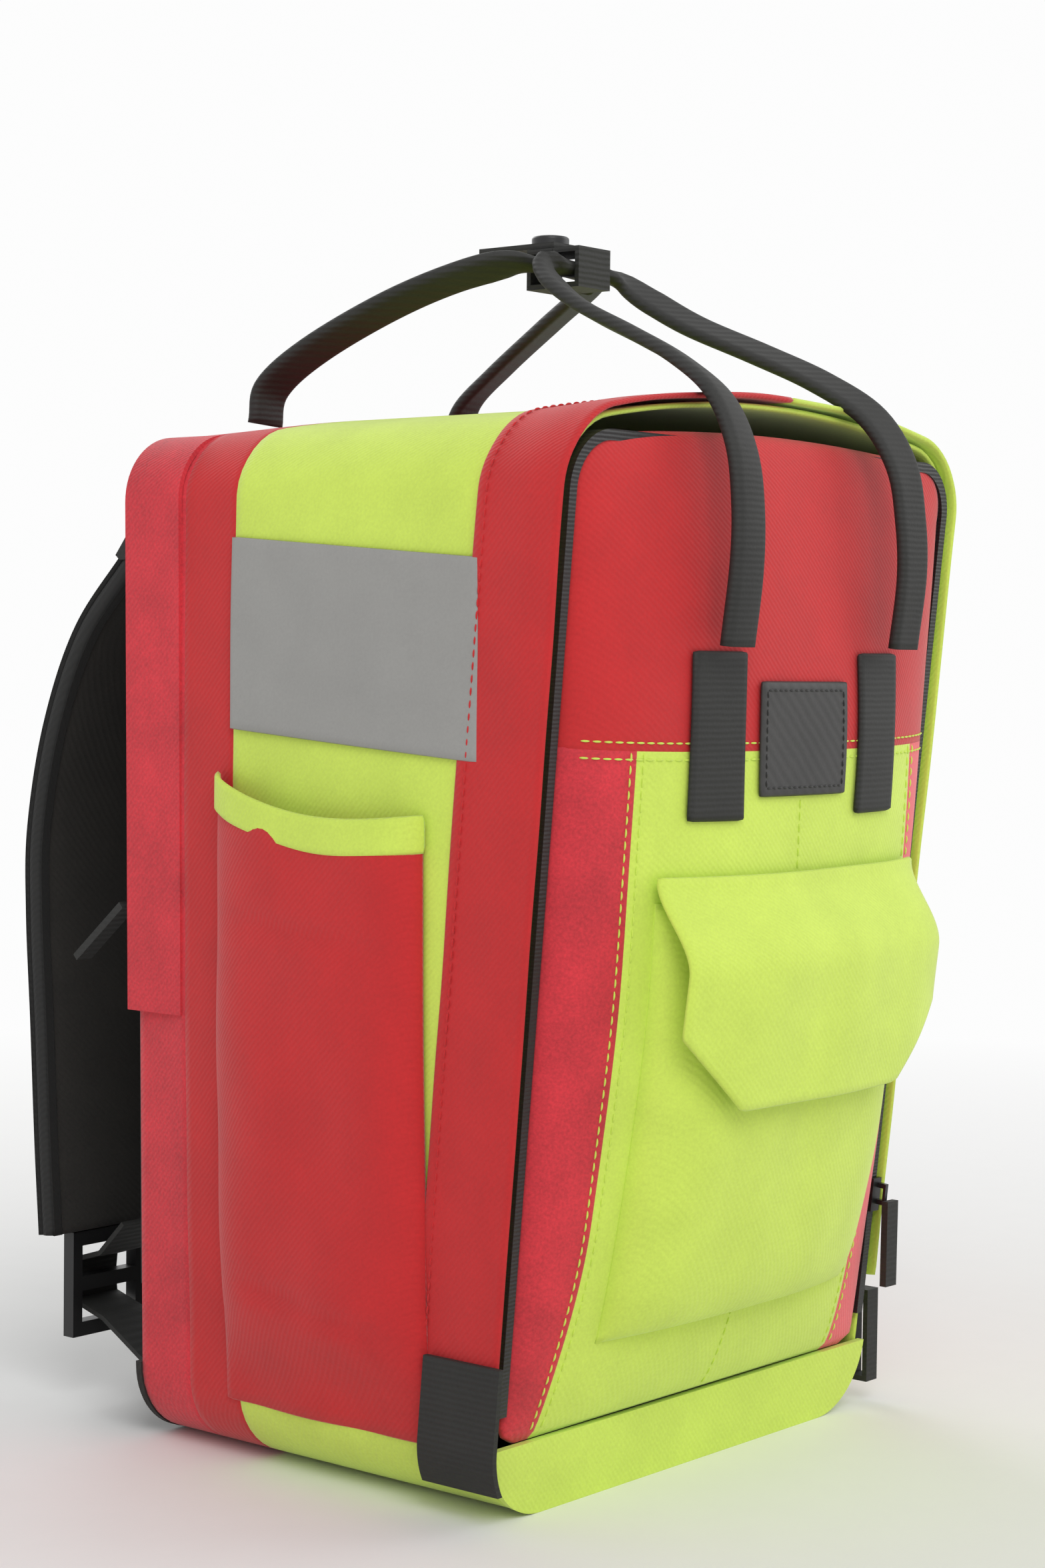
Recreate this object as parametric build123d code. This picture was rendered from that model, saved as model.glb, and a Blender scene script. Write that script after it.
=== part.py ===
"""Box-shaped rescue backpack of high-visibility cloth, as separate pieces. Millimetres, +Z up.

The origin is on the floor, under the middle of the bag. The front panel faces -Y, the carrying
straps are on the +Y side, and +X is to the right for someone who faces the front panel.
"""
from build123d import *
import math
import os

# Bag body
bag_height = 396.0
width_top = 252.0
width_bottom = 240.0
top_corner = 24.0
bottom_corner = 30.0
small_corner = 4.0
front_y_top = -107.5
front_y_bottom = -70.5
back_y = 108.0
cloth = 2.5
skin = 0.6
skin_gap = 0.2
running_gap = 0.3

# Seams of the bands that run round the bag, and of the bottom board
yellow_band_end_y = 52.0
red_band_end_y = 80.0
board_thickness = 3.0
board_margin = 12.0
foam_thickness = 6.0

# Storm flaps and zips
flap_cloth = 2.0
flap_gap = 0.6
flap_width = 37.0
flap_overhang = 7.0
flap_meet_x = 6.0
flap_low_z = 12.0
coil_inset = 2.5
coil_width = 4.0
coil_height = 2.4
zip_tape = 1.0
zip_tape_depth = 12.0
front_zip_low_z = 40.0
back_zip_low_z = 62.0
back_flap_low_z = 172.0
back_flap_start_y = 82.0
back_flap_overhang = 4.0
webbing_width = 36.0
end_tab_high_z = 60.0
end_loop_low_z = 9.0
end_loop_high_z = 48.0
end_loop_depth = 10.0
webbing = 2.2

# Front panel
panel_inset = 7.7
hinge_z = 28.0
hinge_gap = 0.4
foot_thickness = 3.0
pillow_height = 24.0
pillow_slope = 32.0
panel_cloth = 3.0
panel_seam_z = 283.0
centre_half_width = 89.0

# Cargo pocket and its flap, measured on the front panel
cargo_half_width = 82.0
cargo_low_z = 64.0
cargo_high_z = 224.0
cargo_depth = 11.0
cargo_cloth = 2.0
cargo_flap_half_width = 84.0
cargo_flap_top_z = 238.0
cargo_flap_low_z = 155.0
cargo_flap_cut = 30.0

# Label and handle tabs
label_width = 54.0
label_height = 41.0
label_centre_z = 288.0
label_thickness = 1.6
handle_x = 55.0
tab_low_z = 259.0
tab_high_z = 317.0

# Handles and the webbing wrap that holds them together
handle_diameter = 9.0
handle_standoff = 5.0
handle_pivot_z = 322.0
front_crown_y = -12.5
front_crown_z = 466.0
back_crown_y = 0.0
back_crown_z = 468.0
crown_half = 19.0
back_anchor_x = 61.0
back_anchor_y = 102.0
back_anchor_z = 406.0
wrap_half_width = 10.0
wrap_wall = 2.0
wrap_clear = 0.5
wrap_split_y = -6.0
snap_tab_end_y = 33.0
snap_tab_half_width = 9.0
snap_cap_radius = 7.5
snap_cap_height = 3.5
snap_stud_radius = 2.0
snap_cap_offset = 9.0

# Side pockets
side_pocket_front_y = -42.0
side_pocket_back_y = 57.0
side_pocket_low_z = 30.0
side_pocket_seam_z = 200.0
side_pocket_high_z = 258.0
side_pocket_bulge = 12.0
side_pocket_cloth = 2.0

# Reflective tapes
tape_low_z = 280.0
tape_high_z = 354.0
top_tape_start_y = -20.0
top_tape_end_y = 48.0
bottom_tape_half_length = 80.0

# Zip sliders and their pulls
slider_length = 14.0
slider_plate = 1.6
slider_web = 0.6
main_slider_z = 84.0
back_slider_z = 208.0
bridge_height = 4.0
pull_width = 8.0
pull_inset = 3.0
pull_length = 34.0
pull_thickness = 3.0
pull_gap = 0.8
back_pull_hang = 50.0

# Shoulder straps
strap_x = 82.0
strap_width = 65.0
strap_binding = 2.5
strap_thickness = 9.0
strap_axis_y = 122.0
strap_top_z = 350.0
strap_end_z = 72.0
strap_face = 1.5
strap_face_width = 48.0
lock_width = 40.0
lock_length = 44.0
lock_thickness = 6.0
lock_bar = 6.0
lower_web_width = 24.0
lower_web_z = 18.0
lower_anchor_radius = 10.0

lean = math.degrees(math.atan2(front_y_bottom - front_y_top, bag_height))
stretch = 1 / math.cos(math.radians(lean))
side_slant = math.degrees(math.atan2((width_top - width_bottom) / 2, bag_height))
lean_frame = Location((0, front_y_bottom, 0), (lean, 0, 0))
FAR = 300.0
nodes = {}


def block(x0, x1, y0, y1, z0, z1):
    """Box between two corners."""
    return Pos((x0 + x1) / 2, (y0 + y1) / 2, (z0 + z1) / 2) * Box(x1 - x0, y1 - y0, z1 - z0)


def half_width(z):
    """Half of the bag's width at height z."""
    return (width_bottom + (width_top - width_bottom) * z / bag_height) / 2


def outline(inset, low=None, scale_z=1.0):
    """The bag's section across Y, drawn in by inset; low lifts the bottom edge."""
    corner = max(bottom_corner - inset, small_corner) if low is None else small_corner
    low = inset if low is None else low
    high = bag_height - inset
    top = max(top_corner - inset, small_corner)
    left_low = half_width(low) - inset
    left_high = half_width(high) - inset
    points = [(-left_low, 0, low * scale_z), (left_low, 0, low * scale_z),
              (left_high, 0, high * scale_z), (-left_high, 0, high * scale_z)]
    return make_face(FilletPolyline(*points, radius=[corner, corner, top, top], close=True))


def plate(face, y0, y1):
    """A face in the XZ plane, thickened from y0 to y1."""
    return Pos(0, y0, 0) * extrude(face, amount=y1 - y0, dir=(0, 1, 0))


def ring(outer, inner, y0, y1):
    """A band of cloth round the bag, between two insets."""
    return plate(outline(outer), y0, y1) - plate(outline(inner), y0, y1)


def lean_slab(y0, y1):
    """Everything between two planes parallel to the leaning front rim."""
    return lean_frame * block(-FAR, FAR, y0, y1, -FAR, 2 * FAR)


def band(points, thickness, x0, x1):
    """A strip of even thickness along a route in the YZ plane, from x0 to x1."""
    left, right = [], []
    last = len(points) - 1
    for i, (y, z) in enumerate(points):
        y_in, z_in = points[max(i - 1, 0)]
        y_out, z_out = points[min(i + 1, last)]
        a = math.atan2(z - z_in, y - y_in) if i > 0 else None
        b = math.atan2(z_out - z, y_out - y) if i < last else None
        a, b = (b if a is None else a), (a if b is None else b)
        turn = math.atan2(math.sin(b - a), math.cos(b - a))
        mid, reach = a + turn / 2, thickness / 2 / math.cos(turn / 2)
        left.append((x0, y - reach * math.sin(mid), z + reach * math.cos(mid)))
        right.append((x0, y + reach * math.sin(mid), z - reach * math.cos(mid)))
    face = make_face(Polyline(*left, *reversed(right), close=True))
    return extrude(face, amount=x1 - x0, dir=(1, 0, 0))


def tube(points, diameter):
    """A round bar along straight runs, joined by arcs as large as the runs allow."""
    vectors = [Vector(p) for p in points]
    radii = []
    for before, here, after in zip(vectors, vectors[1:], vectors[2:]):
        turn = math.radians((here - before).get_angle(after - here))
        shorter = min((here - before).length, (after - here).length)
        radii.append(0.45 * shorter / math.tan(turn / 2))
    path = FilletPolyline(*points, radius=radii)
    start = Plane(origin=points[0], z_dir=vectors[1] - vectors[0])
    return sweep(start * Circle(diameter / 2), path=path)


def mirrored(shape):
    """The same piece on the other side of the bag."""
    return mirror(shape, about=Plane.YZ)


def front_shell():
    """Cloth bands of the bag, from the leaning front rim to the back rim."""
    ahead = lean_slab(-FAR, 0)
    yellow = ring(0, cloth, -FAR / 2, yellow_band_end_y) - ahead
    upper_z = bag_height - top_corner
    zones = {"gusset_bottom": block(-FAR, FAR, -FAR, FAR, -FAR, bottom_corner),
             "gusset_top": block(-FAR, FAR, -FAR, FAR, upper_z, 2 * FAR),
             "gusset_left": block(-FAR, 0, -FAR, FAR, bottom_corner, upper_z),
             "gusset_right": block(0, FAR, -FAR, FAR, bottom_corner, upper_z)}
    for name, zone in zones.items():
        nodes[name] = yellow & zone
    nodes["red_band"] = ring(0, cloth, yellow_band_end_y, red_band_end_y)
    nodes["back_band"] = ring(0, cloth, red_band_end_y, back_y)
    nodes["front_foot"] = (lean_frame * plate(outline(0, scale_z=stretch), -foot_thickness, 0)
                           & block(-FAR, FAR, -FAR, FAR, -FAR, hinge_z - hinge_gap / 4))
    inner = half_width(0) - bottom_corner
    nodes["bottom_board"] = block(-inner, inner, front_y_bottom + board_margin, back_y - board_margin,
                                  cloth, cloth + board_thickness)


def back_wall():
    """Back panel with its foam, the zip round it and the storm flap over that zip."""
    face = outline(panel_inset) + (outline(0) & plate_zone(back_zip_low_z / 2))
    nodes["back_panel"] = plate(face, back_y, back_y + panel_cloth)
    nodes["back_foam"] = plate(outline(panel_inset + running_gap), back_y - foam_thickness, back_y)
    above = block(-FAR, FAR, -FAR, FAR, back_zip_low_z, 2 * FAR)
    coil = ring(coil_inset, coil_inset + coil_width, back_y, back_y + coil_height)
    nodes["back_zip_chain"] = coil & above
    flap = ring(-flap_gap - flap_cloth, -flap_gap, back_flap_start_y, back_y + back_flap_overhang)
    nodes["back_storm_flap"] = flap & block(-FAR, FAR, -FAR, FAR, back_flap_low_z, 2 * FAR)


def plate_zone(height):
    """Flat zone of the XZ plane below a height."""
    corners = [(-FAR, 0, -FAR), (FAR, 0, -FAR), (FAR, 0, height), (-FAR, 0, height)]
    return make_face(Polyline(*corners, close=True))


def front_rim():
    """The zip chain on the front rim, its storm flaps, end tab and end loop."""
    above = block(-FAR, FAR, -FAR, FAR, front_zip_low_z, 2 * FAR)
    coil = ring(coil_inset, coil_inset + coil_width, -FAR / 2, 0) & lean_slab(-coil_height, 0)
    tape = ring(coil_inset, coil_inset + zip_tape, -FAR / 2, 0) & lean_slab(0, zip_tape_depth)
    nodes["front_zip_chain"] = (coil + tape) & above
    flap = ring(-flap_gap - flap_cloth, -flap_gap, -FAR / 2, 0)
    flap = flap & lean_slab(-flap_overhang, flap_width - flap_overhang)
    nodes["storm_flap_red"] = flap & block(-FAR, flap_meet_x, -FAR, FAR, flap_low_z, 2 * FAR)
    nodes["storm_flap_yellow"] = flap & block(flap_meet_x, FAR, -FAR, FAR, flap_low_z, 2 * FAR)
    outer = -2 * flap_gap - flap_cloth
    tab = ring(outer - webbing, outer, -FAR / 2, 0) & lean_slab(-flap_overhang, webbing_width - flap_overhang)
    nodes["end_tab_left"] = tab & block(-FAR, 0, -FAR, FAR, flap_low_z, end_tab_high_z)
    nodes["end_loop_right"] = end_loop()


def end_loop():
    """Loop of narrow webbing that hangs at the lower right end of the zip."""
    x = half_width(end_loop_high_z) + 2 * flap_gap + flap_cloth
    y = front_y_bottom
    depth = end_loop_depth / 2
    wall = webbing
    outer = block(x, x + pull_width, y - depth, y + depth, end_loop_low_z, end_loop_high_z)
    inner = block(x, x + pull_width, y - depth + wall, y + depth - wall,
                  end_loop_low_z + wall, end_loop_high_z - wall)
    return outer - inner


def reflective_tapes():
    """Grey tapes on both sides, on the top and under the bag."""
    outer, inner = -skin - skin_gap, -skin_gap
    front_edge = lean_slab(flap_width - flap_overhang + 1, FAR)
    side = ring(outer, inner, -FAR / 2, yellow_band_end_y) & front_edge
    side = side & block(-FAR, 0, -FAR, FAR, tape_low_z, tape_high_z)
    nodes["side_tape_left"] = side
    nodes["side_tape_right"] = mirrored(side)
    inner_x = half_width(bag_height) - top_corner
    nodes["top_tape"] = block(-inner_x, inner_x, top_tape_start_y, top_tape_end_y,
                              bag_height + skin_gap, bag_height + skin_gap + skin)


def side_pocket():
    """Open-topped pocket on the left side, standing off the leaning side wall."""
    wall = Location((-width_bottom / 2, 0, 0), (0, -side_slant, 0))
    mouth, low = side_pocket_bulge, side_pocket_low_z
    slope = mouth

    def section(shrink):
        points = [(0, side_pocket_front_y + shrink, 0), (0, side_pocket_back_y - shrink, 0),
                  (shrink - mouth, side_pocket_back_y - slope - shrink / 2, 0),
                  (shrink - mouth, side_pocket_front_y + slope + shrink / 2, 0)]
        return make_face(Polyline(*points, close=True))

    outer = Pos(0, 0, low) * extrude(section(0), amount=side_pocket_high_z - low, dir=(0, 0, 1))
    floor = low + side_pocket_cloth
    space = Pos(0, 0, floor) * extrude(section(side_pocket_cloth), amount=FAR, dir=(0, 0, 1))
    pocket = wall * (outer - space)
    split = block(-FAR, FAR, -FAR, FAR, -FAR, side_pocket_seam_z)
    nodes["side_pocket_body_left"] = pocket & split
    nodes["side_pocket_hem_left"] = pocket - split
    for piece in ("side_pocket_body", "side_pocket_hem"):
        nodes[piece + "_right"] = mirrored(nodes[piece + "_left"])


def pillow(extra):
    """Padded front panel form: a low frustum on the leaning rim, shrunk by extra."""
    base = outline(panel_inset + extra, hinge_z + hinge_gap + extra, stretch)
    crown = outline(panel_inset + pillow_slope + extra, hinge_z + pillow_slope + extra, stretch)
    return loft([base, Pos(0, extra - pillow_height, 0) * crown], ruled=True)


def front_panel():
    """Cloth pieces of the front panel, with label, tabs and cargo pocket."""
    shell = pillow(0) - pillow(panel_cloth)
    lower = block(-FAR, FAR, -FAR, FAR, -FAR, panel_seam_z)
    zones = {"panel_left_strip": block(-FAR, -centre_half_width, -FAR, FAR, -FAR, FAR * 2),
             "panel_centre": block(-centre_half_width, centre_half_width, -FAR, FAR, -FAR, FAR * 2),
             "panel_right_strip": block(centre_half_width, FAR, -FAR, FAR, -FAR, FAR * 2)}
    nodes["panel_upper"] = lean_frame * (shell - lower)
    for name, zone in zones.items():
        nodes[name] = lean_frame * (shell & lower & zone)
    face_y = -pillow_height
    nodes["label_patch"] = lean_frame * block(
        -label_width / 2, label_width / 2, face_y - label_thickness, face_y,
        label_centre_z - label_height / 2, label_centre_z + label_height / 2)
    tab = lean_frame * block(-handle_x - webbing_width / 2, -handle_x + webbing_width / 2,
                             face_y - webbing, face_y, tab_low_z, tab_high_z)
    nodes["handle_tab_left"] = tab
    nodes["handle_tab_right"] = mirrored(tab)
    nodes["cargo_pocket"] = lean_frame * cargo_pocket(face_y)
    nodes["cargo_flap"] = lean_frame * cargo_flap(face_y)


def cargo_pocket(face_y):
    """Bellows pocket with an open top, in the panel's own leaning frame."""
    outer = block(-cargo_half_width, cargo_half_width, face_y - cargo_depth, face_y,
                  cargo_low_z, cargo_high_z)
    inner = cargo_half_width - cargo_cloth
    space = block(-inner, inner, face_y - cargo_depth + cargo_cloth, face_y,
                  cargo_low_z + cargo_cloth, cargo_high_z + 1)
    return outer - space


def cargo_flap(face_y):
    """Flap with cut lower corners that hangs over the cargo pocket's mouth."""
    pivot_y = face_y - cargo_cloth
    front_y = face_y - cargo_depth - cargo_cloth
    knee_z = cargo_flap_top_z - cargo_depth
    route = [(pivot_y - 1, cargo_flap_top_z - 1), (front_y, knee_z), (front_y, cargo_flap_low_z)]
    flap = band(route, cargo_cloth, -cargo_flap_half_width, cargo_flap_half_width)
    half, low, cut = cargo_flap_half_width, cargo_flap_low_z, cargo_flap_cut
    for side in (-1, 1):
        corner = Polyline((side * half, 0, low), (side * (half - cut), 0, low),
                          (side * half, 0, low + cut), close=True)
        flap = flap - plate(make_face(corner), -FAR / 2, 0)
    return flap


def handle_points():
    """Routes of the left halves of the two handles, from pivot to crown."""
    pivot = lean_frame * Pos(-handle_x, -pillow_height - handle_standoff, handle_pivot_z)
    start = pivot.position
    front = [(start.X, start.Y, start.Z), (-55, -134.5, 346), (-54, -134, 368), (-53, -130, 389),
             (-50, -118, 408), (-45, -97, 422), (-40, -71, 434), (-35, -43, 446), (-30, -24, 457),
             (-crown_half, front_crown_y, front_crown_z)]
    back = [(-back_anchor_x, back_anchor_y, back_anchor_z), (-60, 99, 421), (-57, 77, 436),
            (-48, 42, 453), (-36, 13, 464), (-crown_half, back_crown_y, back_crown_z)]
    return front, back


def handles():
    """Two carrying handles, their back anchors and the split wrap with its snap tab."""
    front, back = handle_points()
    for name, route in (("front_handle", front), ("back_handle", back)):
        other = [(-x, y, z) for x, y, z in reversed(route)]
        nodes[name] = tube(route + other, handle_diameter)
    top = bag_height + 2 * flap_gap + flap_cloth
    anchor = block(-back_anchor_x - 10, -back_anchor_x + 10, back_anchor_y - 12, back_anchor_y + 8,
                   top - flap_gap + 0.1, back_anchor_z - handle_diameter / 2 - running_gap)
    nodes["back_handle_anchor_left"] = anchor
    nodes["back_handle_anchor_right"] = mirrored(anchor)
    radius = handle_diameter / 2
    low = front_crown_z - radius - wrap_clear
    high = back_crown_z + radius + wrap_clear
    front_in = front_crown_y - radius - wrap_clear
    back_in = back_crown_y + radius + wrap_clear
    half = wrap_half_width
    shell = (block(-half, half, front_in - wrap_wall, back_in + wrap_wall, low - wrap_wall, high + wrap_wall)
             - block(-half, half, front_in, back_in, low, high))
    gap = running_gap / 2
    nodes["wrap_front"] = shell & block(-FAR, FAR, -FAR, wrap_split_y - gap, 0, 2 * FAR)
    nodes["wrap_back"] = shell & block(-FAR, FAR, wrap_split_y + gap, FAR, 0, 2 * FAR)
    snap(high + wrap_wall)


def snap(top_z):
    """Snap tab on the wrap: a stud under it, a cap on it."""
    hinge_y = wrap_split_y + running_gap / 2
    stud_y = hinge_y + snap_cap_offset
    under = top_z + running_gap
    tab = block(-snap_tab_half_width, snap_tab_half_width, hinge_y, snap_tab_end_y, under, under + webbing)
    hole = Pos(0, stud_y, under + webbing / 2) * Cylinder(snap_stud_radius + 2 * running_gap, webbing)
    nodes["snap_tab"] = tab - hole
    nodes["snap_stud"] = Pos(0, stud_y, top_z + webbing / 2) * Cylinder(snap_stud_radius, webbing)
    cap_z = under + webbing + snap_cap_height / 2
    cap = Pos(0, stud_y, cap_z) * Cylinder(snap_cap_radius, snap_cap_height)
    nodes["snap_cap"] = fillet(cap.edges().group_by(Axis.Z)[-1], 1.2)


def slider_body():
    """Slider round one row of coil. X points into the bag's face, +Y outward, Z along the zip."""
    web_in = coil_inset + coil_width + running_gap
    web_out = web_in + slider_web
    front = coil_height + running_gap
    back = -running_gap - slider_plate
    outer = block(coil_inset - 1, web_out, front, front + slider_plate, 0, slider_length)
    web = block(web_in, web_out, back, front + slider_plate, 0, slider_length)
    inner = block(coil_inset + zip_tape + running_gap, web_out, back, -running_gap, 0, slider_length)
    foot = front + slider_plate
    bridge = block(pull_inset - 1, pull_inset + 1, foot, foot + bridge_height, 3, slider_length - 2)
    eye = block(pull_inset - 1, pull_inset + 1, foot, foot + bridge_height - 1.2, 5, slider_length - 4)
    return outer + web + inner + bridge - eye


def pull_centre():
    """X, Y and Z of the pull's hinge in the slider's own frame."""
    stack = coil_height + running_gap + slider_plate + bridge_height + pull_gap
    return pull_inset, stack + pull_thickness / 2, 4.0


def pull_body(hang):
    """Folded webbing pull that hangs from its hinge, turned outward by hang degrees."""
    strip = block(-pull_width / 2, pull_width / 2, -pull_thickness / 2, pull_thickness / 2,
                  -pull_length, pull_thickness / 2)
    return Pos(*pull_centre()) * Rot(hang, 0, 0) * strip


def zips():
    """Front and back zip sliders with their webbing pulls."""
    rise = (width_top - width_bottom) / 2 / bag_height
    fall = (front_y_top - front_y_bottom) / bag_height
    along = Vector(rise, fall, 1)
    z = main_slider_z
    corner = (half_width(z), front_y_bottom + fall * z, z)
    out = Vector(0, -math.cos(math.radians(lean)), -math.sin(math.radians(lean)))
    main = Plane(origin=corner, x_dir=out.cross(along), z_dir=along)
    nodes["main_slider"] = main.location * slider_body()
    nodes["main_pull"] = main.location * pull_body(lean)
    z = back_slider_z
    along = Vector(-rise, 0, 1)
    corner = (-half_width(z), back_y, z)
    back = Plane(origin=corner, x_dir=Vector(0, 1, 0).cross(along), z_dir=along)
    nodes["back_slider"] = back.location * slider_body()
    nodes["back_pull"] = back.location * pull_body(back_pull_hang)


def strap_route():
    """Side view of the shoulder strap's padded length, from its top joint to the ladder lock."""
    return [(strap_axis_y + 7, strap_top_z - running_gap), (157, 320), (175, 282), (184.5, 240),
            (185, 205), (182, 160), (179, 110), (176, strap_end_z)]


def shoulder_straps():
    """Left strap with its hardware, mirrored for the right one."""
    x0, x1 = -strap_x - strap_width / 2, -strap_x + strap_width / 2
    route = strap_route()
    below = block(-FAR, FAR, -FAR, FAR, -FAR, strap_top_z - running_gap)
    route_up = [(route[0][0] - 9, strap_top_z + 10)] + route
    core = band(route_up, strap_thickness, x0 + strap_binding, x1 - strap_binding) & below
    end = block(-FAR, FAR, -FAR, FAR, strap_end_z + strap_binding, FAR * 2)
    full = band(route_up, strap_thickness, x0, x1) & below
    core = core & end
    pieces = {"strap_pad": core, "strap_binding": full - core}
    inner = [(y - strap_thickness / 2 - strap_face / 2, z) for y, z in route[1:]]
    face_half = strap_face_width / 2
    pieces["strap_face_web"] = band(inner, strap_face, -strap_x - face_half, -strap_x + face_half) - full
    top = [(back_y + panel_cloth + strap_thickness / 2, strap_top_z + 32), route_up[0],
           (route[0][0], strap_top_z - 1)]
    anchor = band(top, strap_thickness, x0, x1) & block(-FAR, FAR, back_y + panel_cloth, FAR, strap_top_z, FAR * 2)
    pieces["strap_anchor_upper"] = anchor
    pieces.update(ladder_lock_and_web())
    for name, shape in pieces.items():
        nodes[name + "_left"] = shape
        nodes[name + "_right"] = mirrored(shape)


def ladder_lock_and_web():
    """Three-bar buckle, the webbing threaded through it, and the tab that holds its lower end."""
    y = strap_route()[-1][0] - 4
    high = strap_end_z - running_gap
    low = high - lock_length
    half = lock_width / 2
    frame = block(-strap_x - half, -strap_x + half, y - lock_thickness / 2, y + lock_thickness / 2, low, high)
    slot = (lock_length - 3 * lock_bar) / 2
    for base in (low + lock_bar, low + 2 * lock_bar + slot):
        frame = frame - block(-strap_x - half + 5, -strap_x + half - 5, y - lock_thickness,
                              y + lock_thickness, base, base + slot)
    mid = (low + high) / 2
    outer_y = y + lock_thickness / 2 + 4
    step = lock_bar / 2 + slot / 2
    route = [(strap_axis_y + 6, lower_web_z), (y - 12, mid - step - 4), (outer_y - 1, mid - step + 1),
             (outer_y, mid), (outer_y - 1, mid + step - 1), (y - 10, mid + step + 4), (y - 24, mid + step + 18)]
    web_half = lower_web_width / 2
    web = band(route, 2.0, -strap_x - web_half, -strap_x + web_half)
    round_end = Pos(-strap_x, strap_axis_y, lower_web_z) * Cylinder(lower_anchor_radius, 2.0)
    neck = block(-strap_x - lower_anchor_radius, -strap_x + lower_anchor_radius, strap_axis_y,
                 strap_axis_y + 8, lower_web_z - 1, lower_web_z + 1)
    web = web + round_end + neck
    tab_z = lower_web_z + 1 + running_gap
    tab_half = lower_anchor_radius - 4
    tab = block(-strap_x - tab_half, -strap_x + tab_half, back_y + panel_cloth, strap_axis_y + 2,
                tab_z, tab_z + webbing)
    return {"ladder_lock": frame, "strap_web_lower": web, "strap_anchor_lower": tab}


def main():
    """Builds every piece and writes it as parts/NODE.step."""
    front_shell()
    back_wall()
    front_rim()
    reflective_tapes()
    side_pocket()
    front_panel()
    handles()
    zips()
    shoulder_straps()
    os.makedirs("parts", exist_ok=True)
    for name, shape in nodes.items():
        shape.label = name
        export_step(shape, f"parts/{name}.step")
        print(name, len(shape.solids()), round(shape.volume, 1))


main()
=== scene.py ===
"""Looks of the rescue backpack: cloth, webbing, zips, stitching, light and camera."""
import math

import bmesh
import bpy
import numpy as np
from mathutils import Matrix, Vector


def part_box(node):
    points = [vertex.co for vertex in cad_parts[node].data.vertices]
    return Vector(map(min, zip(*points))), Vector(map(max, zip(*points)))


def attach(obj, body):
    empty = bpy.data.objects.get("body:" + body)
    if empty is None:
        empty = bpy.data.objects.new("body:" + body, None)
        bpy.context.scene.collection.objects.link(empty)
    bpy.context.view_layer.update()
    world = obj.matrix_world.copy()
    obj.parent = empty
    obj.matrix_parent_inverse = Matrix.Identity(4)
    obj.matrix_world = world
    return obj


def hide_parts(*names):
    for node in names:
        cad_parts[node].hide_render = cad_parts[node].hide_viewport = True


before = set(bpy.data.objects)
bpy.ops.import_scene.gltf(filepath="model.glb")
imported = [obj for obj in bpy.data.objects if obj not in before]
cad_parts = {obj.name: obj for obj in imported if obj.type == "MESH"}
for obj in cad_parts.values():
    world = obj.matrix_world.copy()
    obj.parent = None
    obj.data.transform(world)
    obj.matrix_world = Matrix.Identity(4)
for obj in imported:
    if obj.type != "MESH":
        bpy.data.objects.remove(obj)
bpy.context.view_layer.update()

MM = 0.001


# ---------------------------------------------------------------- driving sizes, in millimetres
def box_mm(node):
    """Lowest and highest corner of a CAD node, in millimetres."""
    low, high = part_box(node)
    return np.array(low) / MM, np.array(high) / MM


band_low, band_high = box_mm("red_band")
HEIGHT = band_high[2]
HALF_TOP = band_high[0]
BACK_Y = box_mm("back_band")[1][1]
RED_Y0, RED_Y1 = band_low[1], band_high[1]
FRONT_TOP = box_mm("gusset_top")[0][1]
FRONT_LEAN = 37.0
FRONT_LOW = FRONT_TOP + FRONT_LEAN
TAPER = 6.0
HALF_LOW = HALF_TOP - TAPER
TOP_R = 24.0
LOW_R = 30.0
LEAN = math.atan2(FRONT_LOW - FRONT_TOP, HEIGHT)
HINGE_Z = box_mm("panel_centre")[0][2]
SEAM_Z = 283.0
CROWN = 13.0
PILLOW = 29.0
PANEL_INSET = 6.0


# ---------------------------------------------------------------- small maths
def smooth_step(t):
    t = np.clip(t, 0, 1)
    return t * t * (3 - 2 * t)


def bump(t):
    """1 at t = 0, falling smoothly to 0 at |t| = 1."""
    return 1 - smooth_step(np.abs(t))


def ripple(u, v, seed, size, amount):
    """Smooth irregular waves about size across, in the same units as u and v."""
    rng = np.random.RandomState(seed)
    total = np.zeros(np.broadcast(u, v).shape)
    for _ in range(7):
        angle, phase = rng.uniform(0, math.pi * 2, 2)
        wave = size * rng.uniform(0.6, 1.7)
        total += np.sin((u * math.cos(angle) + v * math.sin(angle)) / wave * 2 * math.pi + phase)
    return total / 7 * 1.6 * amount


def crease(u, v, start, end, width, depth):
    """A soft fold that runs from start to end and fades at both ends."""
    (u0, v0), (u1, v1) = start, end
    du, dv = u1 - u0, v1 - v0
    length = math.hypot(du, dv)
    along = ((u - u0) * du + (v - v0) * dv) / length
    across = ((u - u0) * dv - (v - v0) * du) / length
    fade = smooth_step(along / (0.25 * length)) * smooth_step((length - along) / (0.25 * length))
    return depth * fade * np.exp(-(across / width) ** 2)


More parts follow.
